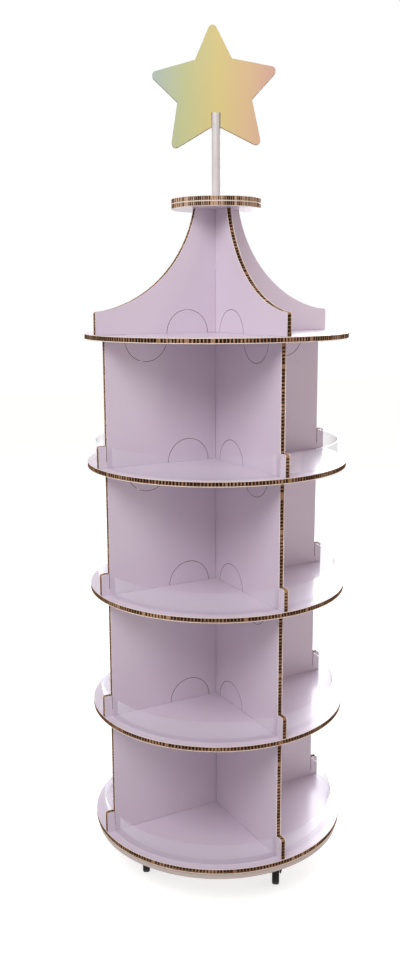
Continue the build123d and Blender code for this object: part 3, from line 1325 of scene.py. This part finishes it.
studio = {
    "floor": {"Base Color": (0.55, 0.55, 0.55, 1), "Roughness": 0.9,
              "Specular IOR Level": 0.1},
    "floorReach": 9,
    "floorCells": 8,
    "floorLift": 0.74,
    "ambient": {"Color": (1.0, 0.925, 0.885, 1), "Strength": 0.46},
    "backdrop": {"Color": (1, 1, 1, 1), "Strength": 1.0},
    "aimedShelf": 2,
    "key": {"place": (-1.75, -1.25, 2.65), "size": 1.6, "power": 50.0,
            "colour": (0.97, 0.985, 1)},
    "side": {"place": (1.6, -2.2, 0.7), "size": 1.6, "power": 6.0,
             "colour": (1, 0.8, 0.66)},
    "back": {"place": (2.25, 1.7, 1.9), "size": 3.0, "power": 118.0,
             "colour": (0.94, 0.97, 1)},
}


def backgroundRays(tree):
    # 1 where the camera, a reflection or a clear sheet looks straight at it
    rays = addNode(tree, "ShaderNodeLightPath").outputs
    both = mathOf(tree, "MAXIMUM", rays["Is Camera Ray"], rays["Is Glossy Ray"])
    return mathOf(tree, "MAXIMUM", both, rays["Is Transmission Ray"])


def makeFloor():
    material, tree, shader = newMaterial("floor_paper")
    setInputs(tree, shader, studio["floor"])
    lift = mathOf(tree, "MULTIPLY", backgroundRays(tree), studio["floorLift"])
    glow = addNode(tree, "ShaderNodeEmission", {"Strength": lift})
    both = addNode(tree, "ShaderNodeAddShader", {0: shader.outputs["BSDF"],
                                                 1: glow.outputs[0]})
    showSurface(tree, both.outputs[0])
    whole = bmesh.new()
    cells = studio["floorCells"]
    bmesh.ops.create_grid(whole, x_segments=cells, y_segments=cells,
                          size=studio["floorReach"])
    floor = linkMesh("studio_floor", whole, [material])


def makeWorld():
    world = bpy.data.worlds.new("studio_world")
    scene.world = world
    world.use_nodes = True
    tree = world.node_tree
    tree.nodes.clear()
    ambient = addNode(tree, "ShaderNodeBackground", studio["ambient"])
    backdrop = addNode(tree, "ShaderNodeBackground", studio["backdrop"])
    mixed = addNode(tree, "ShaderNodeMixShader", {"Fac": backgroundRays(tree),
                                                  1: ambient.outputs[0],
                                                  2: backdrop.outputs[0]})
    addNode(tree, "ShaderNodeOutputWorld", {"Surface": mixed.outputs[0]})


def makeSoftbox(name, target):
    lamp = bpy.data.lights.new(f"{name}_softbox", "AREA")
    lamp.shape = "DISK"
    lamp.size = studio[name]["size"]
    lamp.energy = studio[name]["power"]
    lamp.color = studio[name]["colour"]
    box = bpy.data.objects.new(f"{name}_softbox", lamp)
    box.location = studio[name]["place"]
    box.rotation_euler = (target - box.location).to_track_quat("-Z", "Y").to_euler()
    scene.collection.objects.link(box)


makeFloor()
makeWorld()
for name in ("key", "side", "back"):
    makeSoftbox(name, Vector((0, 0, shelfTops[studio["aimedShelf"]])))

# the angles are in radians
viewpoint = {
    "distance": 1.8682,
    "aboveTopShelf": 72.86 * mm,
    "bearing": 0.5148,
    "pitch": 0.18866,
    "roll": -0.0050,
    "yaw": -0.01744,
    "focalPixels": 970.75,
    "imageHeight": 957,
    "sensorHeight": 36.0,
    "clip": (0.05, 60),
}


def makeCamera():
    bearing = viewpoint["bearing"]
    right = Vector((math.cos(bearing), -math.sin(bearing), 0))
    away = Vector((math.sin(bearing), math.cos(bearing), 0))
    up = Vector((0, 0, 1))
    level = math.sin(viewpoint["yaw"]) * right + math.cos(viewpoint["yaw"]) * away
    side = math.cos(viewpoint["yaw"]) * right - math.sin(viewpoint["yaw"]) * away
    pitch, roll = viewpoint["pitch"], viewpoint["roll"]
    ahead = level * math.cos(pitch) - up * math.sin(pitch)
    over = up * math.cos(pitch) + level * math.sin(pitch)
    cameraRight = side * math.cos(roll) + over * math.sin(roll)
    cameraUp = over * math.cos(roll) - side * math.sin(roll)
    data = bpy.data.cameras.new("photo_camera")
    data.sensor_fit = "VERTICAL"
    data.sensor_height = viewpoint["sensorHeight"]
    data.lens = viewpoint["focalPixels"] / viewpoint["imageHeight"] * data.sensor_height
    data.clip_start, data.clip_end = viewpoint["clip"]
    camera = bpy.data.objects.new("photo_camera", data)
    eye = -away * viewpoint["distance"] + up * (shelfTops[-1] + viewpoint["aboveTopShelf"])
    turn = Matrix((cameraRight, cameraUp, -ahead)).transposed().to_4x4()
    camera.matrix_world = Matrix.Translation(eye) @ turn
    scene.collection.objects.link(camera)
    scene.camera = camera


makeCamera()
scene.view_settings.view_transform = "Standard"
print("stage: studio ready")
